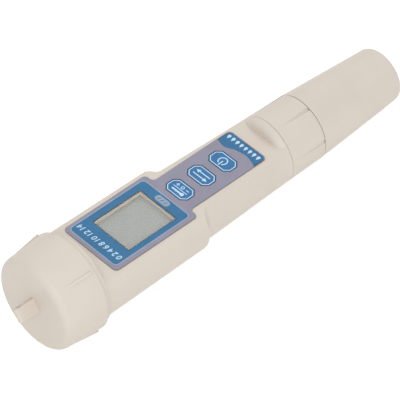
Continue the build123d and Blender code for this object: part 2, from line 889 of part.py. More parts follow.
pieces.update(
    battery_cap=battery_cap,
    housing=housing,
    label_overlay=label_overlay,
    display_window=display_window,
    lcd_upper_glass=lcd_upper_glass,
    lcd_lower_glass=lcd_lower_glass,
    lcd_polarizers=lcd_polarizers,
    lcd_frame=lcd_frame,
    zebra_strips=zebra_strips,
    circuit_board=circuit_board,
    board_chips=board_chips,
    board_screws=board_screws,
    frame_screws=frame_screws,
    tube_screws=tube_screws,
    tact_switches=tact_switches,
    button_cells=button_cells,
    inner_contact=inner_contact,
    battery_tube=battery_tube,
    contact_strips=contact_strips,
    cap_contact_plate=cap_contact_plate,
    cap_contact_spring=cap_contact_spring,
    neck_oring=neck_oring,
    electrode_oring=electrode_oring,
    cap_oring=cap_oring,
    electrode_body=electrode_body,
    ph_bulb=ph_bulb,
    electrode_pins=electrode_pins,
    socket_connector=socket_connector,
    locking_ring=locking_ring,
    probe_cap=probe_cap,
    storage_sponge=storage_sponge,
)
for name, piece in pieces.items():
    piece.part.label = name
    export_step(piece.part, f"parts/{name}.step")
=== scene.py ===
import math

import bpy
from mathutils import Matrix, Vector, noise


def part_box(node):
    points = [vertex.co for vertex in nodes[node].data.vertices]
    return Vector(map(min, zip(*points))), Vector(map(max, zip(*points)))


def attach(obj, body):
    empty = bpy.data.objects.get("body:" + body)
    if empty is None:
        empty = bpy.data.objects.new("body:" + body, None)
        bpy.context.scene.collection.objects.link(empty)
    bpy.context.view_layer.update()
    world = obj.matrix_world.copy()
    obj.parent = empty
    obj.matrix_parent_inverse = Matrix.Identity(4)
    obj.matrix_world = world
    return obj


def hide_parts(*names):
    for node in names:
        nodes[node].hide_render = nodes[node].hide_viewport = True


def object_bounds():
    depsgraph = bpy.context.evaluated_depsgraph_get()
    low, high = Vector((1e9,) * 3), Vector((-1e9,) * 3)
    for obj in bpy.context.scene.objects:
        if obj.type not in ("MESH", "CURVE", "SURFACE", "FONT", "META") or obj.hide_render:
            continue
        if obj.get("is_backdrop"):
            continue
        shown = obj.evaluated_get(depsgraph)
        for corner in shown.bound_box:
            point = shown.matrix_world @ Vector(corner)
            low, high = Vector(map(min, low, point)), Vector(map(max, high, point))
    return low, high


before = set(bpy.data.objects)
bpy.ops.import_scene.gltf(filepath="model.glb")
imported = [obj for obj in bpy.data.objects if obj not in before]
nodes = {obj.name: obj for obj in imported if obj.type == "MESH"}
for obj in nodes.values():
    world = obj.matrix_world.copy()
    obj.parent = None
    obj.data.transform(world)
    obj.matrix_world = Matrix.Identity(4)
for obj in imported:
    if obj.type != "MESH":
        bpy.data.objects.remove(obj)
cadLow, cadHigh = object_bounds()
mm = 0.001
fullLength = 174.7 * mm  # from the battery cap's flat end to the tip of the storage cap

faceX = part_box("probe_cap")[1].x - fullLength  # the flat end, where the stations start
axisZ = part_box("battery_cap")[1].z / 2  # height of the long axis
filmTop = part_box("label_overlay")[1].z
print("frame loaded:", len(nodes), "nodes")


# a socket given as an input is linked, and anything else is set as its value
def addNode(tree, kind, inputs=None, **settings):
    node = tree.nodes.new(kind)
    for name, value in settings.items():
        setattr(node, name, value)
    for key, value in (inputs or {}).items():
        if isinstance(value, bpy.types.NodeSocket):
            tree.links.new(value, node.inputs[key])
        else:
            node.inputs[key].default_value = value
    return node


def mathOf(tree, operation, *values):
    return addNode(tree, "ShaderNodeMath", dict(enumerate(values)), operation=operation).outputs[0]


def vectorOf(tree, operation, *values):
    return addNode(tree, "ShaderNodeVectorMath", dict(enumerate(values)), operation=operation).outputs


def mixOf(tree, mask, low, high):
    colours = {6: low, 7: high}
    for key, colour in colours.items():
        if not isinstance(colour, bpy.types.NodeSocket):
            colours[key] = (*colour, 1)
    return addNode(tree, "ShaderNodeMix", {0: mask, **colours}, data_type="RGBA").outputs[2]


def rangeOf(tree, value, low, high, toLow, toHigh):
    limits = {0: value, 1: low, 2: high, 3: toLow, 4: toHigh}
    return addNode(tree, "ShaderNodeMapRange", limits).outputs[0]


def newGroup(name, inputs, outputs):
    tree = bpy.data.node_groups.new(name, "ShaderNodeTree")
    kinds = {float: "NodeSocketFloat", tuple: "NodeSocketVector"}
    for label, value in inputs.items():
        socket = tree.interface.new_socket(label, in_out="INPUT", socket_type=kinds[type(value)])
        socket.default_value = value
    for label, kind in outputs.items():
        tree.interface.new_socket(label, in_out="OUTPUT", socket_type=kinds[kind])
    return tree, tree.nodes.new("NodeGroupInput").outputs, tree.nodes.new("NodeGroupOutput")


def sendOut(tree, out, **values):
    for name, value in values.items():
        tree.links.new(value, out.inputs[name])
    return tree


def useGroup(tree, group, **inputs):
    return addNode(tree, "ShaderNodeGroup", inputs, node_tree=group).outputs


# effects that several finishes share, each built once as a group
def makeMouldedGrain():
    tree, given, out = newGroup(
        "mouldedGrain",
        {"Shift": (0.0, 0.0, 0.0), "Grain": 2600.0, "Cloud": 55.0},
        {"Tone": float, "Height": float, "Sheen": float},
    )
    place = addNode(tree, "ShaderNodeTexCoord").outputs["Object"]
    moved = vectorOf(tree, "ADD", place, given["Shift"])[0]
    fine = addNode(tree, "ShaderNodeTexNoise", {"Vector": moved, "Scale": given["Grain"], "Detail": 2.0})
    cloud = addNode(tree, "ShaderNodeTexNoise", {"Vector": moved, "Scale": given["Cloud"], "Detail": 3.0})
    speckle = mathOf(tree, "MULTIPLY_ADD", fine.outputs[0], 0.3, cloud.outputs[0])
    return sendOut(
        tree,
        out,
        Tone=rangeOf(tree, speckle, 0.45, 0.85, 0.0, 1.0),
        Height=fine.outputs[0],
        Sheen=rangeOf(tree, cloud.outputs[0], 0.3, 0.7, -0.04, 0.04),
    )


# an edge mask from the Bevel node, which the moulded finishes use to paint a highlight, and the bevelled
# normal
def makeEdgeHighlight():
    tree, given, out = newGroup("edgeHighlight", {"Radius": 0.0002}, {"Edge": float, "Normal": tuple})
    rounded = addNode(tree, "ShaderNodeBevel", {"Radius": given["Radius"]}, samples=4).outputs[0]
    flat = addNode(tree, "ShaderNodeNewGeometry").outputs["Normal"]
    agree = vectorOf(tree, "DOT_PRODUCT", rounded, flat)[1]
    return sendOut(tree, out, Edge=rangeOf(tree, agree, 0.99, 0.9, 0.0, 1.0), Normal=rounded)


def makeSeamShade():
    tree, given, out = newGroup("seamShade", {"Reach": 0.0011}, {"Open": float})
    around = addNode(tree, "ShaderNodeAmbientOcclusion", {"Distance": given["Reach"]}, samples=6)
    return sendOut(tree, out, Open=rangeOf(tree, around.outputs["AO"], 0.04, 0.52, 0.0, 1.0))


def makePrintMottle():
    tree, given, out = newGroup(
        "printMottle", {"Dots": 5200.0, "Patch": 160.0}, {"Tone": float, "Height": float}
    )
    place = addNode(tree, "ShaderNodeTexCoord").outputs["Object"]
    dots = addNode(tree, "ShaderNodeTexNoise", {"Vector": place, "Scale": given["Dots"], "Detail": 1.0})
    patch = addNode(tree, "ShaderNodeTexNoise", {"Vector": place, "Scale": given["Patch"], "Detail": 4.0})
    both = mathOf(tree, "MULTIPLY_ADD", dots.outputs[0], 0.4, patch.outputs[0])
    return sendOut(tree, out, Tone=rangeOf(tree, both, 0.5, 0.9, 0.0, 1.0), Height=dots.outputs[0])


def makeDrawnMetal():
    tree, given, out = newGroup(
        "drawnMetal", {"Stretch": (400.0, 9000.0, 9000.0)}, {"Tone": float, "Height": float, "Sheen": float}
    )
    place = addNode(tree, "ShaderNodeTexCoord").outputs["Object"]
    drawn = vectorOf(tree, "MULTIPLY", place, given["Stretch"])[0]
    lines = addNode(tree, "ShaderNodeTexNoise", {"Vector": drawn, "Scale": 1.0, "Detail": 3.0}).outputs[0]
    stain = addNode(tree, "ShaderNodeTexNoise", {"Vector": place, "Scale": 260.0, "Detail": 4.0}).outputs[0]
    return sendOut(
        tree,
        out,
        Tone=rangeOf(tree, stain, 0.35, 0.65, 0.0, 1.0),
        Height=lines,
        Sheen=rangeOf(tree, lines, 0.3, 0.7, -0.08, 0.08),
    )


mouldedGrain = makeMouldedGrain()
edgeHighlight = makeEdgeHighlight()
seamShade = makeSeamShade()
printMottle = makePrintMottle()
drawnMetal = makeDrawnMetal()


# each finish is one Principled shader, fed by the shared effects
def newFinish(name, sockets):
    finish = bpy.data.materials.new(name)
    finish.use_nodes = True
    shader = finish.node_tree.nodes["Principled BSDF"]
    for key, value in sockets.items():
        shader.inputs[key].default_value = value
    return finish, finish.node_tree, shader


def feed(tree, shader, **values):
    for name, value in values.items():
        tree.links.new(value, shader.inputs[name.replace("_", " ")])


def bumpOf(tree, height, strength, depth, normal=None):
    inputs = {"Height": height, "Strength": strength, "Distance": depth}
    if normal:
        inputs["Normal"] = normal
    return addNode(tree, "ShaderNodeBump", inputs).outputs[0]


def mouldedFinish(name, shade, light, rim, seam, rough=0.5, shift=0.0, grain=2600.0, bump=0.3):
    finish, tree, shader = newFinish(name, {"IOR": 1.46})
    texture = useGroup(tree, mouldedGrain, Shift=(shift, shift, shift), Grain=grain)
    corner = useGroup(tree, edgeHighlight)
    crease = useGroup(tree, seamShade)
    colour = mixOf(tree, texture["Tone"], shade, light)
    # edges painted lighter with the rim colour as a painted highlight, creases painted darker with the seam
    # colour as painted shade
    colour = mixOf(tree, corner["Edge"], colour, rim)
    colour = mixOf(tree, crease["Open"], seam, colour)
    feed(
        tree,
        shader,
        Base_Color=colour,
        Roughness=mathOf(tree, "ADD", texture["Sheen"], rough),
        Normal=bumpOf(tree, texture["Height"], bump, 0.02 * mm, corner["Normal"]),
    )
    return finish


def printedFinish(name, shade, light, rough=0.38):
    finish, tree, shader = newFinish(name, {"IOR": 1.5, "Specular IOR Level": 0.25})
    mottle = useGroup(tree, printMottle)
    feed(
        tree,
        shader,
        Base_Color=mixOf(tree, mottle["Tone"], shade, light),
        Roughness=rangeOf(tree, mottle["Tone"], 0.0, 1.0, rough - 0.05, rough + 0.05),
        Normal=bumpOf(tree, mottle["Height"], 0.15, 0.01 * mm),
    )
    return finish


def metalFinish(name, shade, light, rough, stretch=(400.0, 9000.0, 9000.0)):
    finish, tree, shader = newFinish(name, {"Metallic": 1.0})
    drawn = useGroup(tree, drawnMetal, Stretch=stretch)
    corner = useGroup(tree, edgeHighlight, Radius=0.1 * mm)
    feed(
        tree,
        shader,
        Base_Color=mixOf(tree, drawn["Tone"], shade, light),
        Roughness=mathOf(tree, "ADD", drawn["Sheen"], rough),
        Normal=bumpOf(tree, drawn["Height"], 0.2, 0.01 * mm, corner["Normal"]),
    )
    return finish


# in each palette, rim is a painted highlight for the edges and seam is painted shade for the creases
beige = {
    "shade": (0.690, 0.622, 0.545),
    "light": (0.728, 0.660, 0.580),
    "rim": (0.800, 0.738, 0.655),
    "seam": (0.430, 0.370, 0.295),
}
charcoal = {
    "shade": (0.020, 0.020, 0.022),
    "light": (0.034, 0.034, 0.037),
    "rim": (0.075, 0.075, 0.080),
    "seam": (0.008, 0.008, 0.009),
}
rubber = {
    "shade": (0.014, 0.014, 0.014),
    "light": (0.026, 0.026, 0.026),
    "rim": (0.050, 0.050, 0.050),
    "seam": (0.008, 0.008, 0.008),
}
cream = {
    "shade": (0.520, 0.475, 0.410),
    "light": (0.590, 0.545, 0.480),
    "rim": (0.660, 0.620, 0.550),
    "seam": (0.240, 0.210, 0.170),
}


labelFilm = {
    "shade": (0.262, 0.254, 0.328),
    "light": (0.304, 0.294, 0.380),
    "seam": (0.10, 0.10, 0.13),
    "cutEdgeShade": (0.085, 0.080, 0.085),
    "windowEdgeHighlight": (0.480, 0.450, 0.410),
    "windowStation": 49.0,  # the window's middle
    "windowReach": 12.2,  # each way from that middle, where the film's cut edge is painted light as a highlight, not dark as shade
}


def makeLabelFilm():
    finish, tree, shader = newFinish("greyLabelFilm", {"IOR": 1.5, "Specular IOR Level": 0.3})
    mottle = useGroup(tree, printMottle)
    corner = useGroup(tree, edgeHighlight, Radius=0.08 * mm)
    crease = useGroup(tree, seamShade, Reach=0.3 * mm)
    place = addNode(tree, "ShaderNodeTexCoord").outputs
    upward = addNode(tree, "ShaderNodeSeparateXYZ", {0: place["Normal"]}).outputs["Z"]
    spot = addNode(tree, "ShaderNodeSeparateXYZ", {0: place["Object"]}).outputs
    along = mathOf(tree, "SUBTRACT", spot["X"], faceX + labelFilm["windowStation"] * mm)
    away = mathOf(tree, "MAXIMUM", mathOf(tree, "ABSOLUTE", along), mathOf(tree, "ABSOLUTE", spot["Y"]))
    byWindow = mathOf(tree, "LESS_THAN", away, labelFilm["windowReach"] * mm)
    # the film's cut edges are painted dark as shade, and painted light as a highlight by the window
    edge = mixOf(tree, byWindow, labelFilm["cutEdgeShade"], labelFilm["windowEdgeHighlight"])
    top = mixOf(tree, mottle["Tone"], labelFilm["shade"], labelFilm["light"])
    # the top is painted darker as shade in creases, but not by the window
    top = mixOf(tree, mathOf(tree, "MAXIMUM", crease["Open"], byWindow), labelFilm["seam"], top)
    side = rangeOf(tree, upward, 0.2, 0.7, 0.0, 1.0)
    feed(
        tree,
        shader,
        Base_Color=mixOf(tree, side, edge, top),
        Roughness=rangeOf(tree, mottle["Tone"], 0.0, 1.0, 0.34, 0.44),
        Normal=bumpOf(tree, mottle["Height"], 0.25, 0.01 * mm, corner["Normal"]),
    )
    return finish


def makeKeyFilm():
    finish, tree, shader = newFinish("blueKeyFilm", {"IOR": 1.5, "Specular IOR Level": 0.25})
    mottle = useGroup(tree, printMottle, Patch=420.0)
    corner = useGroup(tree, edgeHighlight, Radius=0.1 * mm)
    feed(
        tree,
        shader,
        Base_Color=mixOf(tree, mottle["Tone"], (0.020, 0.146, 0.352), (0.036, 0.186, 0.424)),
        Roughness=rangeOf(tree, mottle["Tone"], 0.0, 1.0, 0.32, 0.42),
        Normal=bumpOf(tree, mottle["Height"], 0.2, 0.01 * mm, corner["Normal"]),
    )
    return finish


def makeGlass(name, tint, ior):
    finish, tree, shader = newFinish(name, {"Transmission Weight": 1.0, "IOR": ior, "Base Color": (*tint, 1)})
    mottle = useGroup(tree, printMottle, Dots=250.0)
    shadowRay = addNode(tree, "ShaderNodeLightPath").outputs["Is Shadow Ray"]
    feed(
        tree,
        shader,
        Roughness=rangeOf(tree, mottle["Tone"], 0.0, 1.0, 0.0, 0.012),  # a trace of dust
        Alpha=rangeOf(tree, shadowRay, 0.0, 1.0, 1.0, 0.08),  # lets lamp light through to what lies behind
    )
    return finish


def makeDisplayFilm():
    finish, tree, shader = newFinish("displayPolarizer", {"IOR": 1.5})
    mottle = useGroup(tree, printMottle, Dots=300.0, Patch=45.0)
    feed(
        tree,
        shader,
        Base_Color=mixOf(tree, mottle["Tone"], (0.326, 0.336, 0.312), (0.342, 0.352, 0.327)),
        Roughness=rangeOf(tree, mottle["Tone"], 0.0, 1.0, 0.28, 0.36),
        Normal=bumpOf(tree, mottle["Height"], 0.02, 0.01 * mm),
    )
    return finish


def makeCircuitFilm():
    finish, tree, shader = newFinish("greenSolderMask", {"IOR": 1.5, "Coat Weight": 0.4})
    place = addNode(tree, "ShaderNodeTexCoord").outputs["Object"]
    tracks = addNode(
        tree,
        "ShaderNodeTexBrick",
        {"Vector": place, "Scale": 420.0, "Mortar Size": 0.12, "Mortar Smooth": 0.2, "Row Height": 0.3},
    )
    mottle = useGroup(tree, printMottle)
    colour = mixOf(tree, mottle["Tone"], (0.010, 0.110, 0.038), (0.018, 0.150, 0.055))
    colour = mixOf(tree, tracks.outputs["Fac"], colour, (0.045, 0.240, 0.090))
    feed(
        tree,
        shader,
        Base_Color=colour,
        Roughness=rangeOf(tree, mottle["Tone"], 0.0, 1.0, 0.25, 0.35),
        Normal=bumpOf(tree, tracks.outputs["Fac"], 0.4, 0.03 * mm),
    )
    return finish


def makeStripedRubber():
    finish, tree, shader = newFinish("stripedContactRubber", {"IOR": 1.45})
    place = addNode(tree, "ShaderNodeTexCoord").outputs["Object"]
    along = addNode(tree, "ShaderNodeSeparateXYZ", {0: place}).outputs["X"]
    wave = mathOf(tree, "SINE", mathOf(tree, "MULTIPLY", along, 2 * math.pi / (0.4 * mm)))
    stripe = rangeOf(tree, wave, -0.2, 0.2, 0.0, 1.0)
    texture = useGroup(tree, mouldedGrain)
    light = mixOf(tree, texture["Tone"], (0.30, 0.28, 0.24), (0.42, 0.40, 0.35))
    feed(
        tree,
        shader,
        Base_Color=mixOf(tree, stripe, (0.015, 0.015, 0.016), light),
        Roughness=rangeOf(tree, texture["Tone"], 0.0, 1.0, 0.60, 0.75),
    )
    return finish


def makeSpongeFoam():
    finish, tree, shader = newFinish("openCellSponge", {"Sheen Weight": 0.3})
    place = addNode(tree, "ShaderNodeTexCoord").outputs["Object"]
    cells = addNode(tree, "ShaderNodeTexVoronoi", {"Vector": place, "Scale": 1500.0}).outputs["Distance"]
    texture = useGroup(tree, mouldedGrain, Grain=1800.0, Cloud=220.0)
    foam = mixOf(tree, texture["Tone"], (0.56, 0.50, 0.27), (0.74, 0.69, 0.44))
    # the pores are painted darker, a painted shade inside the foam's cells
    pore = rangeOf(tree, cells, 0.12, 0.42, 0.0, 1.0)
    feed(
        tree,
        shader,
        Base_Color=mixOf(tree, pore, (0.22, 0.18, 0.08), foam),
        Roughness=rangeOf(tree, texture["Tone"], 0.0, 1.0, 0.85, 0.95),
        Normal=bumpOf(tree, cells, 0.8, 0.25 * mm),
    )
    return finish


finishes = {
    "housing": mouldedFinish("beigeHousingPlastic", **beige),
    "battery_cap": mouldedFinish("beigeBatteryCapPlastic", **beige, shift=0.3),
    "locking_ring": mouldedFinish("beigeRingPlastic", **beige, shift=0.6),
    "probe_cap": mouldedFinish("beigeProbeCapPlastic", **beige, shift=0.9),
    "label_overlay": makeLabelFilm(),
    "key_temp key_mode key_power": makeKeyFilm(),
    "display_window": makeGlass("clearPane", (0.97, 0.98, 0.98), 1.3),
    "lcd_upper_glass lcd_lower_glass": makeGlass("displayGlass", (0.90, 0.95, 0.92), 1.2),
    "ph_bulb": makeGlass("bulbGlass", (0.93, 0.96, 0.97), 1.47),
    "lcd_polarizers": makeDisplayFilm(),
    "circuit_board": makeCircuitFilm(),
    "zebra_strips": makeStripedRubber(),
    "lcd_frame battery_tube": mouldedFinish("creamCarrierPlastic", **cream, rough=0.55),
    "board_chips": mouldedFinish("chipEpoxy", **charcoal, rough=0.6, grain=5200.0),
    "tact_switches temp_plunger mode_plunger power_plunger": mouldedFinish(
        "switchPlastic", **charcoal, rough=0.4
    ),
    "electrode_body socket_connector": mouldedFinish("electrodePlastic", **charcoal, rough=0.42, bump=0.2),
    "neck_oring electrode_oring cap_oring": mouldedFinish("sealRubber", **rubber, rough=0.62, bump=0.15),
    "button_cells": metalFinish("cellNickel", (0.60, 0.60, 0.61), (0.76, 0.76, 0.77), 0.22),
    "inner_contact cap_contact_plate contact_strips": metalFinish(
        "contactSteel", (0.50, 0.50, 0.50), (0.68, 0.68, 0.67), 0.33
    ),
    "cap_contact_spring": metalFinish(
        "springWire", (0.50, 0.50, 0.50), (0.70, 0.70, 0.69), 0.25, stretch=(5000.0, 5000.0, 5000.0)
    ),
    "board_screws frame_screws tube_screws": metalFinish(
        "platedScrewSteel", (0.46, 0.46, 0.46), (0.62, 0.62, 0.61), 0.36
    ),
    "conductivity_pins": metalFinish("sensorPinAlloy", (0.38, 0.38, 0.40), (0.52, 0.52, 0.53), 0.30),
    "temperature_probe": metalFinish("sheathSteel", (0.52, 0.52, 0.52), (0.66, 0.66, 0.66), 0.28),
    "electrode_pins": metalFinish("goldPlatedPin", (0.72, 0.50, 0.18), (0.86, 0.64, 0.28), 0.25),
    "reference_junction": mouldedFinish(
        "porousCeramic",
        shade=(0.66, 0.63, 0.58),
        light=(0.82, 0.80, 0.76),
        rim=(0.85, 0.84, 0.80),
        seam=(0.40, 0.36, 0.30),
        rough=0.8,
        grain=6000.0,
        bump=0.7,
    ),
}
for names, finish in finishes.items():
    for name in names.split():
        nodes[name].data.materials.clear()
        nodes[name].data.materials.append(finish)
print("finishes on the CAD nodes:", len(finishes))

blueInk = printedFinish("blueInk", (0.018, 0.146, 0.310), (0.034, 0.180, 0.368))
navyInkAndShade = printedFinish("navyInkAndShade", (0.026, 0.078, 0.165), (0.044, 0.115, 0.225))
paleInk = printedFinish("paleInk", (0.480, 0.700, 0.900), (0.620, 0.810, 0.960))
pillInk = printedFinish("pillInk", (0.270, 0.350, 0.450), (0.320, 0.400, 0.500))
rimInk = printedFinish("greyBlueRimInk", (0.330, 0.385, 0.490), (0.395, 0.445, 0.550))


# a piece rides a body and wears the finish it is given, which for the threads is a CAD node's
def placePiece(name, mesh, finish, body, smooth=False):
    piece = bpy.data.objects.new(name, mesh)
    bpy.context.scene.collection.objects.link(piece)
    mesh.materials.clear()
    mesh.materials.append(finish)
    if smooth:
        mesh.shade_smooth()
    else:
        mesh.shade_flat()
    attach(piece, body)
    return piece


def meshOf(name, points, faces):
    mesh = bpy.data.meshes.new(name)
    mesh.from_pydata(points, [], faces)
    mesh.validate()
    mesh.update()
    return mesh


ink = {"depth": 0.02 * mm, "lift": 0.004 * mm}  # one printed layer, and its gap to the film


def plateMesh(name, curve, layer, turn=0.0, at=(0.0, 0.0)):
    curve.extrude = ink["depth"] / 2
    holder = bpy.data.objects.new(name, curve)
    bpy.context.scene.collection.objects.link(holder)
    bpy.context.view_layer.update()
    mesh = bpy.data.meshes.new_from_object(holder.evaluated_get(bpy.context.evaluated_depsgraph_get()))
    mesh.name = name
    height = filmTop + ink["depth"] * (layer - 0.5) + ink["lift"]
    place = Matrix.Translation((faceX + at[0] * mm, at[1] * mm, height))
    mesh.transform(place @ Matrix.Rotation(turn, 4, "Z"))
    bpy.data.objects.remove(holder)
    return mesh


def inkPlate(name, outlines, finish, body="meter_body", layer=1):
    curve = bpy.data.curves.new(name, "CURVE")
    curve.dimensions, curve.fill_mode = "2D", "BOTH"
    for outline in outlines:
        spline = curve.splines.new("POLY")
        spline.points.add(len(outline) - 1)
        for point, (x, y) in zip(spline.points, outline):
            point.co = (x * mm, y * mm, 0, 1)
        spline.use_cyclic_u = True
    return placePiece(name, plateMesh(name, curve, layer), finish, body)


numbers = {
    "text": "0 2 4 6 8 10 12 14",
    "size": 3.2,
    "place": (32.7, 0.4),
    "slant": 0.2,
    "wordGap": 0.8,
    "thicker": 0.05,  # added to each stroke's outline
}


def inkNumbers(name, finish):
    curve = bpy.data.curves.new(name, "FONT")
    curve.body, curve.size = numbers["text"], numbers["size"] * mm
    curve.align_x, curve.align_y = "CENTER", "CENTER"
    curve.shear, curve.space_word = numbers["slant"], numbers["wordGap"]
    curve.offset = numbers["thicker"] * mm
    curve.resolution_u = 4
    mesh = plateMesh(name, curve, 2, math.pi / 2, numbers["place"])
    return placePiece(name, mesh, finish, "meter_body")


def arc(centre, radius, start, end, steps):
    turns = [math.radians(start + (end - start) * step / steps) for step in range(steps + 1)]
    return [(centre[0] + radius * math.cos(turn), centre[1] + radius * math.sin(turn)) for turn in turns]


def roundedBox(near, far, right, left, radius):
    corners = [
        ((far - radius, left - radius), 0),
        ((near + radius, left - radius), 90),
        ((near + radius, right + radius), 180),
        ((far - radius, right + radius), 270),
    ]
    return [point for centre, start in corners for point in arc(centre, radius, start, start + 90, 6)]


def bar(start, end, width):
    along = Vector(end) - Vector(start)
    side = Vector((-along.y, along.x)).normalized() * width / 2
    return [tuple(Vector(p) + s) for p, s in ((start, side), (end, side), (end, -side), (start, -side))]


def ringArc(centre, radius, width, start=0, end=360, steps=40):
    outer = arc(centre, radius + width / 2, start, end, steps)
    inner = arc(centre, radius - width / 2, start, end, steps)
    if end - start == 360:
        return [outer[:-1], inner[:-1]]
    return [outer + inner[::-1]]


key = {
    "first": 71.35,
    "pitch": 10.6,
    "length": 6.6,
    "width": 10.8,
    "cut": 1.8,
    "line": (0.08, 0.46),  # the pale outline's outer and inner inset
    "shadow": (0.16, 0.48),  # the dark outline's inner and outer reach past the key
}


def keyOutline(centre, grow):
    length, width = key["length"] / 2 + grow, key["width"] / 2 + grow
    cut = key["cut"] + grow * (2 - math.sqrt(2))
    quarter = [(length, width - cut), (length - cut, width)]
    corners = quarter + [(-x, y) for x, y in quarter[::-1]]
    corners += [(-x, -y) for x, y in corners]
    return [(centre + x, y) for x, y in corners]


def powerSymbol(centre):
    return ringArc((centre, 0), 1.75, 0.5, 207, 513) + [bar((centre + 0.1, 0), (centre - 2.4, 0), 0.5)]


def modeSymbol(centre):
    arrow = [(0.24, -3.5), (0.24, 1.9), (0.85, 1.9), (0, 3.7), (-0.85, 1.9), (-0.24, 1.9), (-0.24, -3.5)]
    return [[(centre + side * (x + 0.95), side * y) for x, y in arrow] for side in (-1, 1)]


def turnedBy(points, quarters):
    for _ in range(quarters):
        points = [(-y, x) for x, y in points]
    return points


def temperatureSymbol(centre):
    above, below = centre - 1.3, centre + 1.3
    thermometer = arc((above, -2.2), 0.8, 62, -242, 16) + arc((above, 2.7), 0.37, 180, 0, 8)
    arm = [(0.19, 0.19), (0.19, 0.75), (-0.19, 0.75)]
    plus = [point for quarter in range(4) for point in turnedBy(arm, quarter)]
    shapes = [thermometer, bar((centre, -3.5), (centre, 3.5), 0.32), bar((below, -3.2), (below, -1.7), 0.38)]
    shapes += [[(below + x, 2.45 + y) for x, y in plus]]
    return shapes + ringArc((below, 0), 0.6, 0.36, steps=20)


symbols = {"temp": temperatureSymbol, "mode": modeSymbol, "power": powerSymbol}
for number, (name, symbol) in enumerate(symbols.items()):
    centre = key["first"] + key["pitch"] * number
    outer, inner = (keyOutline(centre, -inset) for inset in key["line"])
    inkPlate(name + "KeyOutline", [outer, inner], paleInk, name + "_button")
    inkPlate(name + "KeySymbol", symbol(centre), paleInk, name + "_button")
    # a dark ring round each key, partly print and partly a painted shadow of the gap round the key
    inner, outer = (keyOutline(centre, reach) for reach in key["shadow"])
    inkPlate(name + "KeyInkAndShadowRing", [outer, inner], navyInkAndShade)

film = {
    "windowFrame": (29.1, 64.9, -11.9, 12.6, 1.5),
    "frameRim": 0.35,
    "window": (37.3, 60.7, -9.7, 9.7, 0.15),
    "pill": (61.5, 64.2, -3.1, 3.6, 1.2),
    "strip": (104.95, -9.72, 9.5, 1.7),  # the far strip's end, sides and corner radius
    "stripLine": 0.28,
    "wave": [(98.9, 9.5), (98.3, 7.4), (98.1, 4.8), (99.8, 1.2), (100.6, -3.2), (100.2, -6.3), (99.0, -9.72)],
}


def between(a, b, c, d, t):
    bend = 2 * a - 5 * b + 4 * c - d
    twist = 3 * b - a - 3 * c + d
    return 0.5 * (2 * b + (c - a) * t + bend * t**2 + twist * t**3)


def smoothed(points, steps=6):
    padded = [points[0], *points, points[-1]]
    line = []
    for before, start, end, after in zip(padded, padded[1:], padded[2:], padded[3:]):
        for step in range(steps):
            share = step / steps
            line.append(tuple(between(*four, share) for four in zip(before, start, end, after)))
    return line + [points[-1]]


near, far, right, left, corner = film["windowFrame"]
rim = film["frameRim"]
windowHole = roundedBox(*film["window"])
pill = roundedBox(*film["pill"])
frameOutline = roundedBox(*film["windowFrame"])
inkPlate("windowFrameInk", [frameOutline, windowHole, pill], blueInk)
rimOutline = roundedBox(near - rim, far + rim, right - rim, left + rim, corner + rim)
inkPlate("windowFrameRim", [rimOutline, frameOutline], rimInk)
inkPlate("windowPill", [pill], pillInk)

tick = {
    "count": 3,
    "first": -1.5,
    "pitch": 1.7,
    "start": (63.4, -0.2),  # station, and shift across from the stroke's own place
    "end": (62.2, 0.5),
    "width": 0.34,
}
for number in range(tick["count"]):
    across = tick["first"] + tick["pitch"] * number
    start, end = ((station, across + shift) for station, shift in (tick["start"], tick["end"]))
    inkPlate(f"pillTick{number + 1}", [bar(start, end, tick["width"])], blueInk, layer=2)


# the far strip's outline away from the wave, drawn in by the inset
def stripEdge(inset):
    end, right, left, corner = film["strip"]
    rightTurn = arc((end - corner, right + corner), corner - inset, -90, 0, 6)
    return rightTurn + arc((end - corner, left - corner), corner - inset, 0, 90, 6)


def stripSides(inset):
    right, left = film["strip"][1:3]
    nearLeft, nearRight = film["wave"][0][0], film["wave"][-1][0]
    return [(nearRight, right + inset), *stripEdge(inset), (nearLeft, left - inset)]


inkPlate("farStripInk", [stripEdge(0) + smoothed(film["wave"])], blueInk)
# a dark line along the strip's outer edge, partly print and partly painted shade at the film's edge
inkPlate("farStripLine", [stripSides(0) + stripSides(film["stripLine"])[::-1]], navyInkAndShade, layer=2)
inkNumbers("nearStripNumbers", paleInk)

drops = {"count": 8, "station": 102.9, "first": -7.7, "pitch": 2.2, "size": 1.9}


def drop(number):
    station, size = drops["station"], drops["size"]
    across = drops["first"] + drops["pitch"] * number
    bowl = arc((station + size * 0.2, across), size * 0.36, -118, 118, 14)
    return bowl + [(station - size * 0.62, across)]


inkPlate("farStripDrops", [drop(number) for number in range(drops["count"])], paleInk, layer=2)
print("printing done")

capThread = {"foot": 1.1, "tip": 0.45, "pitch": 2.5}
ringThread = {"foot": 0.7, "tip": 0.3, "pitch": 1.5}
thread = {
    "neck": {**capThread, "from": 7.3, "to": 13.6, "root": 16.27, "crest": 16.95, "phase": 0.0},
    "cap": {**capThread, "from": 8.0, "to": 13.9, "root": 17.24, "crest": 16.55, "phase": 0.5},
    "spigot": {**ringThread, "from": 116.4, "to": 122.6, "root": 11.87, "crest": 12.3, "phase": 0.0},
    "ring": {**ringThread, "from": 117.0, "to": 123.4, "root": 12.53, "crest": 12.12, "phase": 0.5},
}
threadBodies = {
    "neck": ("meter_body", "housing"),
    "cap": ("screw_cap", "battery_cap"),
    "spigot": ("meter_body", "housing"),
    "ring": ("ring", "locking_ring"),
}


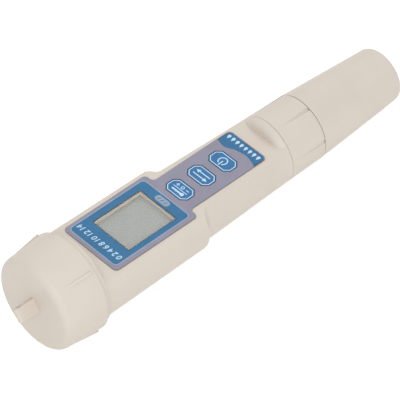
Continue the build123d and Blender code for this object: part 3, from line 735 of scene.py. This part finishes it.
def threadMesh(name, sizes, turnSteps=72, fadeSteps=12):
    pitch, root, foot, tip = (sizes[part] for part in ("pitch", "root", "foot", "tip"))
    steps = round((sizes["to"] - sizes["from"]) / pitch * turnSteps)
    phase = 2 * math.pi * ((sizes["from"] / pitch) % 1 + sizes["phase"])
    points, faces = [], []
    for step in range(steps + 1):
        turn = 2 * math.pi * (step / turnSteps)
        station = sizes["from"] + pitch * step / turnSteps
        fade = max(0.05, min(1.0, step / fadeSteps, (steps - step) / fadeSteps))  # runs out at both ends
        crest = root + (sizes["crest"] - root) * fade
        for offset, radius in ((-foot, root), (-tip, crest), (tip, crest), (foot, root)):
            points.append((
                faceX + (station + offset / 2) * mm,
                radius * mm * math.cos(turn + phase),
                axisZ + radius * mm * math.sin(turn + phase),
            ))
        if step:
            low = 4 * (step - 1)
            faces += [(low + k, low + (k + 1) % 4, low + 4 + (k + 1) % 4, low + 4 + k) for k in range(4)]
    faces += [(0, 1, 2, 3), tuple(4 * steps + k for k in (3, 2, 1, 0))]
    if sizes["crest"] > sizes["root"]:
        faces = [face[::-1] for face in faces]
    return meshOf(name, points, faces)


for name, sizes in thread.items():
    body, slot = threadBodies[name]
    placePiece(name + "Thread", threadMesh(name + "Thread", sizes), finishes[slot], body)

sponge = {
    "radius": 9.25,
    "rings": 16,
    "around": 56,
    "crown": 0.22,  # how far the rim of each face falls away
    "pore": 0.16,
    "poreScale": 900,
    "sink": 0.12,  # keeps the rough faces inside the solid's
}


def spongeMesh():
    low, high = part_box("storage_sponge")
    points, faces, rows = [], [], []
    profile = [(i / sponge["rings"], 1) for i in range(1, sponge["rings"] + 1)]
    sideRows = [(1.0, t) for t in (0.6, 0.2, -0.2, -0.6)]
    profile += sideRows + [(share, -1) for share, _ in profile[::-1]]
    middle, thick = (low.x + high.x) / 2, (high.x - low.x) / 2
    for share, side in profile:
        row = []
        for step in range(sponge["around"]):
            turn = 2 * math.pi * step / sponge["around"]
            radius = sponge["radius"] * mm * share
            if abs(side) == 1:
                lift = thick * side - math.copysign(sponge["crown"] * mm * share**6, side)
            else:
                lift = thick * side * 0.8
            point = Vector((middle + lift, radius * math.cos(turn), axisZ + radius * math.sin(turn)))
            pull = noise.noise(point * sponge["poreScale"]) * sponge["pore"] * mm - sponge["sink"] * mm
            point.x += math.copysign(pull, side)
            row.append(len(points))
            points.append(point)
        rows.append(row)
    for upper, lower in zip(rows, rows[1:]):
        for k in range(sponge["around"]):
            n = (k + 1) % sponge["around"]
            faces.append((upper[k], lower[k], lower[n], upper[n]))
    inner = thick - sponge["sink"] * mm
    for row, offset in ((rows[0], inner), (rows[-1], -inner)):
        centre = len(points)
        points.append(Vector((middle + offset, 0, axisZ)))
        for k in range(sponge["around"]):
            n = (k + 1) % sponge["around"]
            faces.append((centre, row[k], row[n]) if offset > 0 else (centre, row[n], row[k]))
    return meshOf("wetSponge", points, faces)


spongePiece = placePiece(
    "wetSponge", spongeMesh(), makeSpongeFoam(), "storage_cap", smooth=True
)
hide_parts("storage_sponge")
print("threads and sponge done")


stage = {
    "tilt": 3.15,  # the meter rests on the battery cap's rim and where the ring meets the storage cap
    "rimStation": 18.2,  # where that rim stands on the floor
    "size": 3.0,
    "white": 0.86,
    "cameraGlow": 0.55,
}


# rays from the camera, and those that meet the white through glass or in gloss
def seenRays(tree):
    rays = addNode(tree, "ShaderNodeLightPath").outputs
    seen = mathOf(tree, "MAXIMUM", rays["Is Camera Ray"], rays["Is Transmission Ray"])
    return mathOf(tree, "MAXIMUM", seen, rays["Is Glossy Ray"])


def makeFloor():
    half, tilt = stage["size"] / 2, math.radians(stage["tilt"])
    rest = Vector((faceX + stage["rimStation"] * mm, 0, 0))
    along = Vector((math.cos(tilt), 0, math.sin(tilt)))
    corners = ((-half, -half), (half, -half), (half, half), (-half, half))
    points = [rest + along * x + Vector((0, y, 0)) for x, y in corners]
    floor = bpy.data.objects.new("whiteFloor", meshOf("whiteFloor", points, [(0, 1, 2, 3)]))
    bpy.context.scene.collection.objects.link(floor)
    finish = bpy.data.materials.new("whitePaper")
    finish.use_nodes = True
    tree = finish.node_tree
    shader = tree.nodes["Principled BSDF"]
    shader.inputs["Base Color"].default_value = (stage["white"],) * 3 + (1,)
    shader.inputs["Roughness"].default_value = 0.9
    strength = mathOf(tree, "MULTIPLY", seenRays(tree), stage["cameraGlow"])
    glow = addNode(tree, "ShaderNodeEmission", {"Color": (1, 1, 1, 1), "Strength": strength})
    lit = addNode(tree, "ShaderNodeAddShader", {0: shader.outputs[0], 1: glow.outputs[0]})
    back = addNode(tree, "ShaderNodeNewGeometry").outputs["Backfacing"]
    clear = addNode(tree, "ShaderNodeBsdfTransparent")
    mixed = addNode(tree, "ShaderNodeMixShader", {0: back, 1: lit.outputs[0], 2: clear.outputs[0]})
    tree.links.new(mixed.outputs[0], tree.nodes["Material Output"].inputs[0])
    floor.data.materials.append(finish)
    floor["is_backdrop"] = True


light = {
    "world": 0.70,
    "frontLamp": {"place": (-0.52, -0.66, 0.74), "size": 0.8, "power": 4.1},
    "backLamp": {"place": (0.40, 0.62, 0.72), "size": 0.5, "power": 1.2},
}


def makeWorld():
    world = bpy.data.worlds.new("studio")
    bpy.context.scene.world = world
    world.use_nodes = True
    tree = world.node_tree
    background = tree.nodes["Background"]
    background.inputs["Color"].default_value = (1, 1, 1, 1)
    strength = rangeOf(tree, seenRays(tree), 0.0, 1.0, light["world"], 1.0)
    tree.links.new(strength, background.inputs["Strength"])


def areaLamp(name):
    lamp = bpy.data.lights.new(name, "AREA")
    lamp.size, lamp.energy = light[name]["size"], light[name]["power"]
    holder = bpy.data.objects.new(name, lamp)
    bpy.context.scene.collection.objects.link(holder)
    holder.visible_transmission = False
    holder.location = light[name]["place"]
    holder.rotation_mode = "QUATERNION"
    holder.rotation_quaternion = (holder.location - Vector((0, 0, axisZ))).to_track_quat("Z", "Y")


view = {
    "target": (-0.003895, -0.002036, 0.020),
    "azimuth": -43.072,
    "elevation": 45.904,
    "distance": 1.327155,
    "lens": 327.97,
    "sensor": 36.0,
}


def makeCamera():
    turn, rise = math.radians(view["azimuth"]), math.radians(view["elevation"])
    back = Vector((math.sin(turn) * math.cos(rise), -math.cos(turn) * math.cos(rise), math.sin(rise)))
    lens = bpy.data.cameras.new("photoView")
    lens.lens, lens.sensor_width = view["lens"], view["sensor"]
    lens.clip_start, lens.clip_end = 0.01, 20
    camera = bpy.data.objects.new("photoView", lens)
    bpy.context.scene.collection.objects.link(camera)
    camera.location = Vector(view["target"]) + back * view["distance"]
    camera.rotation_mode = "QUATERNION"
    camera.rotation_quaternion = back.to_track_quat("Z", "Y")
    bpy.context.scene.camera = camera


makeFloor()
makeWorld()
areaLamp("frontLamp")
areaLamp("backLamp")
makeCamera()
bpy.context.scene.view_settings.view_transform = "Standard"
print("stage, light and camera done")

newLow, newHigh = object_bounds()
sizes = {"cad": [list(cadLow), list(cadHigh)], "visual": [list(newLow), list(newHigh)]}
